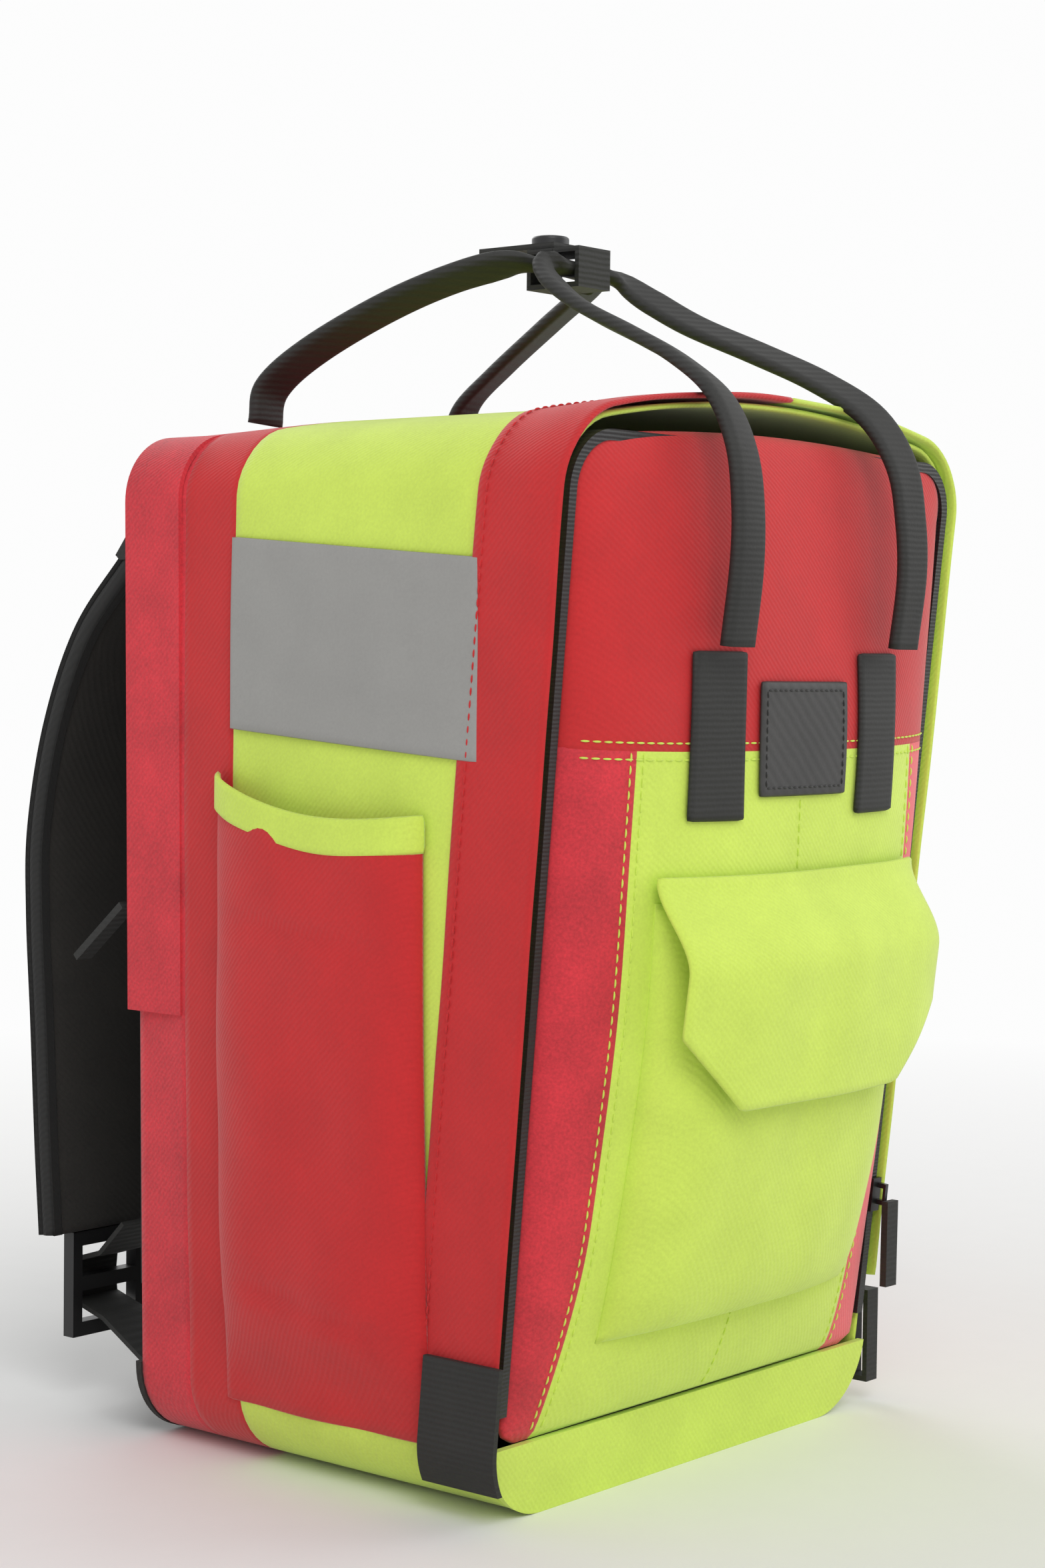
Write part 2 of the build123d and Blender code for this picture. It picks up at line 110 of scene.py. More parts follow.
def smooth_path(points, count):
    """Evenly spaced points on a Catmull-Rom curve through the given points."""
    p = np.asarray(points, float)
    p = np.vstack([2 * p[0] - p[1], p, 2 * p[-1] - p[-2]])
    out = []
    for i in range(1, len(p) - 2):
        t = np.linspace(0, 1, 24, endpoint=False)[:, None]
        a, b, c, d = p[i - 1], p[i], p[i + 1], p[i + 2]
        out.append(0.5 * (2 * b + (c - a) * t + (2 * a - 5 * b + 4 * c - d) * t**2
                          + (3 * b - a - 3 * c + d) * t**3))
    out = np.vstack(out + [p[-2][None]])
    run = np.concatenate([[0], np.cumsum(np.linalg.norm(np.diff(out, axis=0), axis=1))])
    even = np.linspace(0, run[-1], count)
    return np.stack([np.interp(even, run, out[:, k]) for k in range(out.shape[1])], 1)


def unit(v):
    return v / np.maximum(np.linalg.norm(v, axis=-1, keepdims=True), 1e-9)


# ---------------------------------------------------------------- the bag's own surfaces
class Section:
    """The bag's outline in the XZ plane, by distance from the bottom centre, going left."""

    def __init__(self):
        def arc(cx, cz, r, a0, a1):
            a = np.radians(np.linspace(a0, a1, 25))
            return np.stack([cx + r * np.cos(a), cz + r * np.sin(a)], 1)

        left_low = np.array([-HALF_LOW, 0.0])
        left_high = np.array([-HALF_TOP, HEIGHT])
        half = np.vstack([[[0, 0]], arc(left_low[0] + LOW_R, LOW_R, LOW_R, 270, 180),
                          arc(left_high[0] + TOP_R, HEIGHT - TOP_R, TOP_R, 180, 90), [[0, HEIGHT]]])
        other = half[::-1][1:] * [-1, 1]
        path = np.vstack([half, other])
        run = np.concatenate([[0], np.cumsum(np.linalg.norm(np.diff(path, axis=0), axis=1))])
        self.length = run[-1]
        self.s = np.linspace(0, self.length, 1500)
        self.x = np.interp(self.s, run, path[:, 0])
        self.z = np.interp(self.s, run, path[:, 1])
        nx, nz = -np.gradient(self.z), np.gradient(self.x)
        kernel = np.ones(9) / 9
        nx, nz = [np.convolve(np.concatenate([a[-5:-1], a, a[1:5]]), kernel, "valid") for a in (nx, nz)]
        size = np.hypot(nx, nz)
        self.nx, self.nz = nx / size, nz / size

    def at(self, s):
        s = np.mod(s, self.length)
        return [np.interp(s, self.s, a) for a in (self.x, self.z, self.nx, self.nz)]

    def side(self, z, left=True):
        """Distance along the outline at height z on one side."""
        half = len(self.s) // 2
        s = np.interp(z, self.z[:half], self.s[:half])
        return s if left else self.length - s


section = Section()
TOP_S = section.length / 2


def front_y(z):
    return FRONT_LOW + (FRONT_TOP - FRONT_LOW) * z / HEIGHT


def crown(x, z, y=0.0):
    """How far the full bag's top domes up."""
    rise = np.clip(1 - (x / (HALF_TOP - 4)) ** 2, 0, 1)
    back = 1 - 0.35 * smooth_step((y - RED_Y0) / (BACK_Y - RED_Y0))
    return CROWN * rise * smooth_step((z - HEIGHT * 0.6) / (HEIGHT * 0.4)) * back


def shell(s, y, lift=0.0):
    """Point on the bag's cloth at distance s round the section and depth y, lifted outward."""
    x, z, nx, nz = section.at(s)
    t = np.clip((y - front_y(z)) / (BACK_Y - front_y(z)), 0, 1)
    side = np.clip(np.abs(nx), 0, 1) ** 2
    body = np.sin(math.pi * t) * np.sin(math.pi * np.clip(z / HEIGHT, 0, 1)) ** 0.7
    full = 5.0 * side * body
    slack = ripple(y, z, 5, 90, 0.9) * side * np.sin(math.pi * t)
    d = lift + full + slack
    return np.stack([x + nx * d, np.broadcast_to(y, np.shape(x)) + 0 * d, z + nz * d + crown(x, z, y)], -1)


def rim(s, w, lift=0.0):
    """Point near the front rim: w is the distance behind the leaning rim plane."""
    x, z, nx, nz = section.at(s)
    y = front_y(z) + w
    body = np.sin(math.pi * np.clip(z / HEIGHT, 0, 1)) ** 0.7 * np.clip(w / 60, 0, 1)
    d = lift + 3.2 * body * np.clip(np.abs(nx), 0, 1) ** 2
    return np.stack([x + nx * d, y + 0 * d, z + nz * d + crown(x, z, y)], -1)


def leaning(x, y, z):
    """World point of a point in the leaning front panel's frame."""
    c, s = math.cos(LEAN), math.sin(LEAN)
    return np.stack([x + 0 * y + 0 * z, FRONT_LOW + y * c - z * s + 0 * x, y * s + z * c + 0 * x], -1)


PANEL_LOW = HINGE_Z
PANEL_HIGH = (HEIGHT - PANEL_INSET) / math.cos(LEAN)


def panel_half(z):
    """Half of the front panel's width at height z, with its round upper corners."""
    half = HALF_LOW + (HALF_TOP - HALF_LOW) * z / HEIGHT - PANEL_INSET
    r = TOP_R - PANEL_INSET + 4
    over = np.clip(z - (PANEL_HIGH - r), 0, r)
    low_r = 9.0
    under = np.clip(PANEL_LOW + low_r - z, 0, low_r)
    return half - r + np.sqrt(r * r - over * over) - low_r + np.sqrt(low_r**2 - under**2)


def pillow(x, z):
    """How far the stuffed front panel stands out, in millimetres."""
    t = np.clip((z - PANEL_LOW) / (PANEL_HIGH - PANEL_LOW), 0, 1)
    half = HALF_LOW + (HALF_TOP - HALF_LOW) * z / HEIGHT - PANEL_INSET
    across = np.clip(1 - np.abs(x / half) ** 2.3, 0, 1) ** 0.6
    tall = (np.clip(np.sin(math.pi * t ** 0.95), 0, 1)) ** 0.52
    slack = ripple(x, z, 11, 120, 1.1) * across * tall
    return PILLOW * across * tall + slack


def panel(x, z, lift=0.0):
    """Point on the front panel's cloth."""
    crown_up = 7.0 * np.clip(1 - (x / HALF_TOP) ** 2, 0, 1) * smooth_step((z - 300) / 90)
    return leaning(x, -pillow(x, z) - lift, z + crown_up)


# ---------------------------------------------------------------- mesh building
def new_mesh(name, verts, faces, uvs=None, material=None, smooth=True):
    mesh = bpy.data.meshes.new(name)
    mesh.from_pydata((np.asarray(verts) * MM).tolist(), [], faces)
    if smooth:
        mesh.polygons.foreach_set("use_smooth", [True] * len(mesh.polygons))
    if uvs is not None:
        layer = mesh.uv_layers.new(name="cloth")
        loops = np.zeros(len(mesh.loops), np.int32)
        mesh.loops.foreach_get("vertex_index", loops)
        layer.data.foreach_set("uv", (np.asarray(uvs)[loops] * MM).astype(np.float32).ravel())
    obj = bpy.data.objects.new(name, mesh)
    bpy.context.scene.collection.objects.link(obj)
    if material is not None:
        mesh.materials.append(material)
    mesh.update()
    return obj


def grid_normals(points, closed=False):
    if closed:
        ring = np.concatenate([points[-1:], points, points[:1]], 0)
        du = (ring[2:] - ring[:-2])
    else:
        du = np.gradient(points, axis=0)
    dv = np.gradient(points, axis=1)
    return unit(np.cross(du, dv))


def cloth(name, points, uv, thickness, material, flip=False, closed=False):
    """A closed sheet with rounded edges: points is a grid on its outer face."""
    nu, nv = points.shape[:2]
    normal = grid_normals(points, closed) * (-1 if flip else 1)
    inner = points - normal * thickness
    verts = np.concatenate([points.reshape(-1, 3), inner.reshape(-1, 3)])
    uvs = np.concatenate([uv.reshape(-1, 2)] * 2)
    size = nu * nv
    idx = np.arange(size).reshape(nu, nv)
    faces = []
    rows = nu if closed else nu - 1
    for i in range(rows):
        a, b = idx[i], idx[(i + 1) % nu]
        quads = np.stack([a[:-1], b[:-1], b[1:], a[1:]], 1)
        outer = quads[:, ::-1] if flip else quads
        back = quads if flip else quads[:, ::-1]
        faces += outer.tolist() + (back + size).tolist()
    if closed:
        loops = [np.concatenate([idx[:, 0], idx[:1, 0]]), np.concatenate([idx[:, -1], idx[:1, -1]])[::-1]]
    else:
        loops = [np.concatenate([idx[0, :], idx[1:, -1], idx[-1, -2::-1], idx[-2::-1, 0]])]
    extra, extra_uv, count = [], [], len(verts)
    for loop in loops:
        ring = loop[:-1]
        outer_p, inner_p = verts[ring], verts[ring + size]
        middle = (outer_p + inner_p) / 2
        tangent = unit(np.roll(outer_p, -1, 0) - np.roll(outer_p, 1, 0))
        side = unit(np.cross(tangent, outer_p - inner_p))
        centre = points.reshape(-1, 3).mean(0)
        sign = 1.0
        if not closed:
            probe = outer_p + side
            sign = 1.0 if np.mean(np.linalg.norm(probe - centre, axis=1)
                                  - np.linalg.norm(outer_p - centre, axis=1)) > 0 else -1.0
        else:
            neighbour = idx[:, 1] if ring[0] == idx[0, 0] else idx[:, -2][::-1]
            inward = verts[neighbour[:len(ring)]] - outer_p
            sign = -1.0 if np.mean(np.sum(side * inward, 1)) > 0 else 1.0
        extra.append(middle + side * sign * thickness * 0.5)
        extra_uv.append(uvs[ring])
        n = len(ring)
        for k in range(n):
            a, b = ring[k], ring[(k + 1) % n]
            m, q = count + k, count + (k + 1) % n
            one, two = [int(a), int(b), q, m], [m, q, int(b) + size, int(a) + size]
            faces += [one[::-1], two[::-1]] if not flip else [one, two]
        count += n
    verts = np.concatenate([verts] + extra)
    uvs = np.concatenate([uvs] + extra_uv)
    obj = new_mesh(name, verts, faces, uvs, material)
    fix_normals(obj)
    return obj


def fix_normals(obj):
    """Makes every face of a closed mesh look outward."""
    bm = bmesh.new()
    bm.from_mesh(obj.data)
    bmesh.ops.recalc_face_normals(bm, faces=bm.faces)
    bm.to_mesh(obj.data)
    bm.free()


def strip_section(width, thickness, steps=5, belly=0.0):
    """Outline of flat webbing: (across, up) points with rounded edges."""
    r = thickness / 2
    flat = np.linspace(-(width / 2 - r), width / 2 - r, 9)
    crown_up = belly * (1 - (flat / (width / 2)) ** 2)
    a = np.radians(np.linspace(90, -90, steps + 2)[1:-1])
    right = np.stack([width / 2 - r + r * np.cos(a), r * np.sin(a)], 1)
    left = np.stack([-(width / 2 - r) - r * np.cos(a[::-1]), r * np.sin(a[::-1])], 1)
    top = np.stack([flat, r + crown_up], 1)
    bottom = np.stack([flat[::-1], -r + 0 * flat], 1)
    return np.concatenate([top, right, bottom, left])


def ribbon(name, path, across, width, thickness, material, belly=0.0):
    """Webbing along a path; across gives its width direction, width may change along it."""
    path = np.asarray(path, float)
    n = len(path)
    tangent = unit(np.gradient(path, axis=0))
    across = np.broadcast_to(np.asarray(across, float), (n, 3))
    across = unit(across - np.sum(across * tangent, 1, keepdims=True) * tangent)
    up = np.cross(across, tangent)
    width, thickness = np.broadcast_to(width, n), np.broadcast_to(thickness, n)
    run = np.concatenate([[0], np.cumsum(np.linalg.norm(np.diff(path, axis=0), axis=1))])
    rings, uvs = [], []
    for i in range(n):
        shape = strip_section(width[i], thickness[i], belly=belly)
        rings.append(path[i] + across[i] * shape[:, :1] + up[i] * shape[:, 1:])
        uvs.append(np.stack([np.full(len(shape), run[i]), shape[:, 0]], 1))
    m = len(rings[0])
    verts, uvs = np.concatenate(rings), np.concatenate(uvs)
    faces = []
    for i in range(n - 1):
        for j in range(m):
            k = (j + 1) % m
            faces.append([i * m + j, i * m + k, (i + 1) * m + k, (i + 1) * m + j])
    for base, order in ((0, 1), ((n - 1) * m, -1)):
        centre = len(verts)
        verts = np.concatenate([verts, verts[base:base + m].mean(0, keepdims=True)])
        uvs = np.concatenate([uvs, uvs[base:base + m].mean(0, keepdims=True)])
        for j in range(m):
            face = [base + (j + 1) % m, base + j, centre]
            faces.append(face[::order])
    obj = new_mesh(name, verts, faces, uvs, material)
    fix_normals(obj)
    return obj


def stitches(name, lines, material, length=3.2, gap=1.3, radius=0.42, sink=0.1):
    """Sewn thread: every line is (points, normals), and each stitch is a small rounded bar."""
    rings, sides = 5, 6
    verts, faces = [], []
    for points, normals in lines:
        points, normals = np.asarray(points, float), np.asarray(normals, float)
        run = np.concatenate([[0], np.cumsum(np.linalg.norm(np.diff(points, axis=0), axis=1))])
        count = max(1, int(run[-1] // (length + gap)))
        pitch = run[-1] / count
        for i in range(count):
            ends = np.array([i * pitch + gap / 2, (i + 1) * pitch - gap / 2])
            where = np.linspace(ends[0], ends[1], rings)
            p = np.stack([np.interp(where, run, points[:, k]) for k in range(3)], 1)
            nrm = unit(np.stack([np.interp(where, run, normals[:, k]) for k in range(3)], 1))
            tan = unit(np.gradient(p, axis=0))
            side = unit(np.cross(tan, nrm))
            swell = np.sin(np.linspace(0.18, math.pi - 0.18, rings)) ** 0.5
            base = len(verts)
            for r in range(rings):
                centre = p[r] + nrm[r] * (radius * (swell[r] - 0.55) - sink)
                for q in range(sides):
                    a = 2 * math.pi * q / sides
                    verts.append(centre + radius * swell[r] * (side[r] * math.cos(a) + nrm[r] * math.sin(a)))
            for r in range(rings - 1):
                for q in range(sides):
                    a, b = base + r * sides + q, base + r * sides + (q + 1) % sides
                    faces.append([a, b, b + sides, a + sides])
            faces.append([base + q for q in range(sides)][::-1])
            faces.append([base + (rings - 1) * sides + q for q in range(sides)])
    obj = new_mesh(name, np.array(verts), faces, None, material)
    return obj


def surface_line(func, u, v, lift=0.0, eps=0.6):
    """Points and outward normals along a line of a surface function."""
    u, v = np.broadcast_arrays(np.asarray(u, float), np.asarray(v, float))
    p = func(u, v, lift)
    du = func(u + eps, v, lift) - func(u - eps, v, lift)
    dv = func(u, v + eps, lift) - func(u, v - eps, lift)
    return p, unit(np.cross(du, dv))


def outward(line, centre=(0, 0, 200)):
    """Turns a line's normals to point away from the bag's middle."""
    p, n = line
    away = np.sum(n * (p - np.asarray(centre, float)), 1, keepdims=True)
    return p, np.where(away < 0, -n, n)


def mesh_grid(u, v):
    return np.meshgrid(np.asarray(u, float), np.asarray(v, float), indexing="ij")


def dense(a, b, step):
    return np.linspace(a, b, max(2, int(abs(b - a) / step) + 1))


# ---------------------------------------------------------------- materials
FIBRE_SCALE = 900
CLOUD_SCALE = 45


def linear(r, g, b):
    """Linear colour of an sRGB colour given from 0 to 255."""
    v = np.array([r, g, b]) / 255
    return tuple(np.where(v <= 0.04045, v / 12.92, ((v + 0.055) / 1.055) ** 2.4)) + (1.0,)


def add_noise(nodes, scale, detail):
    noise = nodes.new("ShaderNodeTexNoise")
    noise.inputs["Scale"].default_value = scale
    noise.inputs["Detail"].default_value = detail
    return noise


def add_mix(nodes, link, first, second, share):
    mix = nodes.new("ShaderNodeMix")
    mix.inputs["Factor"].default_value = share
    link(first, mix.inputs["A"])
    link(second, mix.inputs["B"])
    return mix.outputs["Result"]


def make_material(name, colour, rough, pitch, depth, vary=0.12, direction="DIAGONAL", sheen=0.0):
    """Woven or moulded finish: ribs of the given pitch and depth (m), fibre noise and soft colour patches."""
    mat = bpy.data.materials.new(name)
    mat.use_nodes = True
    nodes, link = mat.node_tree.nodes, mat.node_tree.links.new
    shader = nodes["Principled BSDF"]
    shader.inputs["Roughness"].default_value = rough
    shader.inputs["Sheen Weight"].default_value = sheen
    place = nodes.new("ShaderNodeTexCoord")
    ribs = nodes.new("ShaderNodeTexWave")
    ribs.bands_direction = direction
    ribs.inputs["Scale"].default_value = 2 * math.pi / (20 * pitch)
    ribs.inputs["Distortion"].default_value = 1.2
    ribs.inputs["Detail"].default_value = 2
    fibre = add_noise(nodes, FIBRE_SCALE, 4)
    cloud = add_noise(nodes, CLOUD_SCALE, 5)
    for texture in (ribs, fibre, cloud):
        link(place.outputs["Object"], texture.inputs["Vector"])

    ramp = nodes.new("ShaderNodeValToRGB")
    base = np.array(colour[:3])
    for stop, position, factor in zip(ramp.color_ramp.elements, (0.3, 0.7), (1 - vary, 1 + vary)):
        stop.position = position
        stop.color = (*np.clip(base * factor, 0, 1), 1)
    link(add_mix(nodes, link, fibre.outputs["Fac"], cloud.outputs["Fac"], 0.5), ramp.inputs["Fac"])
    link(ramp.outputs["Color"], shader.inputs["Base Color"])

    relief = nodes.new("ShaderNodeBump")
    relief.inputs["Strength"].default_value = 0.6
    relief.inputs["Distance"].default_value = depth
    link(add_mix(nodes, link, ribs.outputs["Fac"], fibre.outputs["Fac"], 0.35), relief.inputs["Height"])
    link(relief.outputs["Normal"], shader.inputs["Normal"])
    return mat


def twill(name, colour, rough=0.75, vary=0.12):
    return make_material(name, colour, rough, 0.0013, 0.0002, vary, sheen=0.2)


def thread(name, colour, rough=0.6):
    return make_material(name, colour, rough, 0.0006, 0.00005)


FINISH = {
    "yellow_twill": twill("yellow_twill", linear(208, 232, 92), vary=0.09),
    "bright_red_twill": twill("bright_red_twill", linear(196, 26, 30)),
    "crimson_twill": twill("crimson_twill", linear(204, 44, 56), 0.78, 0.3),
    # Bright red cloth painted lighter, pale pink: a painted highlight for the front panel's right strip.
    "red_twill_painted_highlight": twill("red_twill_painted_highlight", linear(236, 92, 100)),
    "reflective_tape": make_material("reflective_tape", linear(150, 149, 146), 0.38, 0.0009, 0.00006, 0.06),
    "black_webbing": make_material("black_webbing", linear(34, 34, 32), 0.7, 0.0022, 0.0004, 0.25, "Z"),
    "strap_padding": make_material("strap_padding", linear(40, 38, 35), 0.85, 0.0018, 0.0004, 0.3),
    "binding_tape": make_material("binding_tape", linear(24, 24, 23), 0.75, 0.0015, 0.0003, 0.2),
    "black_plastic": make_material("black_plastic", linear(24, 24, 25), 0.38, 0.004, 0.00002, 0.1),
    "zip_coil": make_material("zip_coil", linear(30, 30, 30), 0.5, 0.0015, 0.0005, 0.2, "Z"),
    "leather_patch": make_material("leather_patch", linear(52, 51, 50), 0.55, 0.003, 0.0002, 0.2),
    "back_foam": make_material("back_foam", linear(46, 45, 43), 0.9, 0.003, 0.0006, 0.2),
    "bottom_board": make_material("bottom_board", linear(60, 58, 55), 0.7, 0.003, 0.0001, 0.1),
    "white_thread": thread("white_thread", linear(222, 222, 214)),
    "black_thread": thread("black_thread", linear(44, 44, 43), 0.55),
}


# ---------------------------------------------------------------- camera, floor and light
CAMERA_ANGLES = (50.3, 2.5, 0.7)
CAMERA_TARGET = Vector((0, 0, 0.262))
CAMERA_SHIFT = 0.011
CAMERA_DISTANCE = 1.189
CAMERA_LENS = 67.8
WORLD_LIGHT = 0.55
WHITE = 0.98
FLOOR_HALF = 9000
FLOOR_DROP = 0.3
FADE_FROM, FADE_TO = 0.35, 1.3
LIGHT_TARGET = Vector((0, 0, 0.2))


def make_camera():
    azimuth, pitch, roll = np.radians(CAMERA_ANGLES)
    flat = math.cos(pitch)
    ahead = Vector((math.sin(azimuth) * flat, math.cos(azimuth) * flat, -math.sin(pitch)))
    level = Vector((math.cos(azimuth), -math.sin(azimuth), 0))
    upright = level.cross(ahead)
    right = level * math.cos(roll) + upright * math.sin(roll)
    up = -level * math.sin(roll) + upright * math.cos(roll)
    camera = bpy.data.cameras.new("camera")
    camera.lens = CAMERA_LENS
    camera.sensor_width = 36
    camera.sensor_fit = "AUTO"
    obj = bpy.data.objects.new("camera", camera)
    place = CAMERA_TARGET - level * CAMERA_SHIFT - ahead * CAMERA_DISTANCE
    axes = Matrix((right, up, -ahead)).transposed()
    obj.matrix_world = Matrix.Translation(place) @ axes.to_4x4()
    bpy.context.scene.collection.objects.link(obj)
    bpy.context.scene.camera = obj


def make_light(name, place, power, size):
    lamp = bpy.data.lights.new(name, "AREA")
    lamp.energy, lamp.size = power, size
    obj = bpy.data.objects.new(name, lamp)
    obj.location = place
    obj.rotation_euler = (LIGHT_TARGET - Vector(place)).to_track_quat("-Z", "Y").to_euler()
    bpy.context.scene.collection.objects.link(obj)


def whiten_far(mat):
    """Fades the floor into a glowing white away from the object. The glow lights the object a little too."""
    nodes, link = mat.node_tree.nodes, mat.node_tree.links.new
    place, reach = nodes.new("ShaderNodeTexCoord"), nodes.new("ShaderNodeVectorMath")
    reach.operation = "LENGTH"
    link(place.outputs["Object"], reach.inputs[0])
    fade = nodes.new("ShaderNodeMapRange")
    fade.inputs["From Min"].default_value = FADE_FROM
    fade.inputs["From Max"].default_value = FADE_TO
    link(reach.outputs["Value"], fade.inputs["Value"])
    glow, mix = nodes.new("ShaderNodeEmission"), nodes.new("ShaderNodeMixShader")
    glow.inputs["Strength"].default_value = WHITE
    link(fade.outputs["Result"], mix.inputs["Fac"])
    link(nodes["Principled BSDF"].outputs["BSDF"], mix.inputs[1])
    link(glow.outputs["Emission"], mix.inputs[2])
    link(mix.outputs["Shader"], nodes["Material Output"].inputs["Surface"])


def larger(nodes, link, first, second):
    """Output of a node that gives the larger of two values."""
    node = nodes.new("ShaderNodeMath")
    node.operation = "MAXIMUM"
    link(first, node.inputs[0])
    link(second, node.inputs[1])
    return node.outputs[0]


def make_world():
    """Plain light, seen as white by the camera and in reflections and glass."""
    world = bpy.data.worlds.new("studio")
    bpy.context.scene.world = world
    world.use_nodes = True
    nodes, link = world.node_tree.nodes, world.node_tree.links.new
    path = nodes.new("ShaderNodeLightPath")
    clear = larger(nodes, link, path.outputs["Is Glossy Ray"], path.outputs["Is Transmission Ray"])
    seen = larger(nodes, link, path.outputs["Is Camera Ray"], clear)
    strength = nodes.new("ShaderNodeMapRange")
    strength.inputs["To Min"].default_value = WORLD_LIGHT
    strength.inputs["To Max"].default_value = WHITE
    link(seen, strength.inputs["Value"])
    nodes["Background"].inputs["Color"].default_value = (1, 1, 1, 1)
    link(strength.outputs["Result"], nodes["Background"].inputs["Strength"])


def make_floor():
    corners = [(-1, -1), (1, -1), (1, 1), (-1, 1)]
    verts = [[FLOOR_HALF * x, FLOOR_HALF * y, -FLOOR_DROP] for x, y in corners]
    paper = make_material("floor_paper", (0.84, 0.84, 0.83, 1), 0.9, 0.5, 0.0, 0.01)
    whiten_far(paper)
    new_mesh("floor", verts, [[0, 1, 2, 3]], None, paper)


bpy.context.scene.view_settings.view_transform = "Standard"
make_camera()
make_world()
make_floor()
make_light("key", (-1.5, -1.9, 2.2), 34, 1.6)
make_light("fill", (1.9, -1.2, 1.4), 12, 1.6)
make_light("back", (0.6, 1.9, 1.7), 14, 1.4)


# ---------------------------------------------------------------- finishes of the CAD pieces that stay
CAD_FINISH = {
    "storm_flap_yellow": "yellow_twill", "storm_flap_red": "bright_red_twill", "tape": "reflective_tape",
    "gusset": "yellow_twill", "red_band": "bright_red_twill", "back_band": "crimson_twill",
    "back_storm": "crimson_twill", "label": "leather_patch", "panel_upper": "bright_red_twill",
    # The right strip is bright red cloth, painted pale pink as a highlight.
    "left_strip": "crimson_twill", "right_strip": "red_twill_painted_highlight", "panel_centre": "yellow_twill",
    "cargo": "yellow_twill", "side_pocket_body": "bright_red_twill", "side_pocket_hem": "yellow_twill",
    "front_foot": "yellow_twill", "bottom_board": "bottom_board", "back_foam": "back_foam",
    "back_panel": "strap_padding", "zip_chain": "zip_coil", "strap_pad": "strap_padding",
    "binding": "binding_tape", "ladder": "black_plastic", "snap_cap": "black_plastic",
    "snap_stud": "black_plastic", "slider": "black_plastic",
}


def cad_finish(node):
    """Finish of a CAD node: the first word of the table in its name, or webbing."""
    return next((slot for word, slot in CAD_FINISH.items() if word in node), "black_webbing")


for node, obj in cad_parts.items():
    obj.data.materials.clear()
    obj.data.materials.append(FINISH[cad_finish(node)])


# ---------------------------------------------------------------- shared by the soft pieces
SIDES = (("left", -1), ("right", 1))


def settle(obj, body, slot, *nodes):
    """Rides a finished piece on its body and lets it stand for its CAD nodes."""
    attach(obj, body)
    if nodes:
        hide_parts(*nodes)


def side_shell(y, z, lift, sign):
    """Point on one side of the bag, by depth y and height z."""
    return shell(section.side(z, sign < 0), y, lift)


def panel_grid(x0, x1, z0, z1, nx, nz, lift=0.0):
    """Cloth grid on the front panel between two x lines, each a number or a function of z."""
    t, z = mesh_grid(np.linspace(0, 1, nx), np.linspace(z0, z1, nz))
    low = x0(z) if callable(x0) else x0 + 0 * z
    high = x1(z) if callable(x1) else x1 + 0 * z
    x = low + (high - low) * t
    lifted = lift(x, z) if callable(lift) else lift
    return panel(x, z, lifted), np.stack([x, z], -1)


# ---------------------------------------------------------------- gusset and the two bands behind it
def make_gusset():
    s = np.linspace(0, section.length, 260, endpoint=False)
    gusset = ["gusset_bottom", "gusset_top", "gusset_left", "gusset_right"]
    for name, start, stop, rows, slot, nodes in (
            ("gusset_cloth", lambda z: front_y(z) + 1, RED_Y0, 40, "yellow_twill", gusset),
            ("red_band_cloth", lambda z: RED_Y0, RED_Y1, 10, "bright_red_twill", ["red_band"]),
            ("back_band_cloth", lambda z: RED_Y1, BACK_Y, 10, "crimson_twill", ["back_band"])):
        grid_s, t = mesh_grid(s, np.linspace(0, 1, rows))
        front = start(section.at(grid_s)[1])
        y = front + (stop - front) * t
        points = shell(grid_s, y, 0.0)
        points[..., 2] = np.maximum(points[..., 2], 0.1)
        piece = cloth(name, points, np.stack([grid_s, y], -1), 2.0, FINISH[slot], closed=True)
        settle(piece, "root", slot, *nodes)


# ---------------------------------------------------------------- front panel
def panel_left(z):
    return -panel_half(z)


def yellow_left(z):
    """The yellow centre's left seam, which flares out near the bottom."""
    return -90 - 10 * bump(z / 110)


def yellow_right(z):
    return 90 + 0 * z


def panel_seams():
    """Rows of thread on both sides of each seam, and one down the middle."""
    def row(x, z):
        return outward(surface_line(panel, x, z, 0.2))

    z = dense(PANEL_LOW + 4, SEAM_Z, 3)
    x = dense(-panel_half(SEAM_Z) + 6, panel_half(SEAM_Z) - 6, 3)
    rows = [row(yellow_left(z) + d, z) for d in (-2.5, 3)]
    rows += [row(yellow_right(z) + d, z) for d in (-3, 2.5)]
    rows += [row(x, 0 * x + SEAM_Z + d) for d in (3, -3)]
    return rows + [row(0 * z, z)]


def make_front_panel():
    upper, lower = (SEAM_Z, PANEL_HIGH), (PANEL_LOW, SEAM_Z)
    for name, x0, x1, span, slot, finish, nx in (
            ("panel_upper", panel_left, panel_half, upper, "bright_red_twill", "bright_red_twill", 70),
            ("panel_left_strip", panel_left, yellow_left, lower, "crimson_twill", "crimson_twill", 16),
            ("panel_centre", yellow_left, yellow_right, lower, "yellow_twill", "yellow_twill", 60),
            # The right strip is bright red cloth, painted pale pink as a highlight.
            ("panel_right_strip", yellow_right, panel_half, lower, "bright_red_twill", "red_twill_painted_highlight", 16)):
        points, uv = panel_grid(x0, x1, *span, nx, 70)
        settle(cloth(name + "_cloth", points, uv, 2.4, FINISH[finish]), "front_panel", slot, name)
    seams = stitches("panel_seam_stitches", panel_seams(), FINISH["yellow_twill"])
    settle(seams, "front_panel", "yellow_twill")


# ---------------------------------------------------------------- cargo pocket and its flap
CARGO_X = (-78.0, 82.0)
CARGO_Z = (64.0, 228.0)
CARGO_DEPTH = 13.0
CARGO_FLAP_X = (-80.0, 88.0)
CARGO_FLAP_Z = (155.0, 237.0)
CARGO_FLAP_CUT = (32.0, 28.0)
CARGO_FLAP_FOLD = 32.0


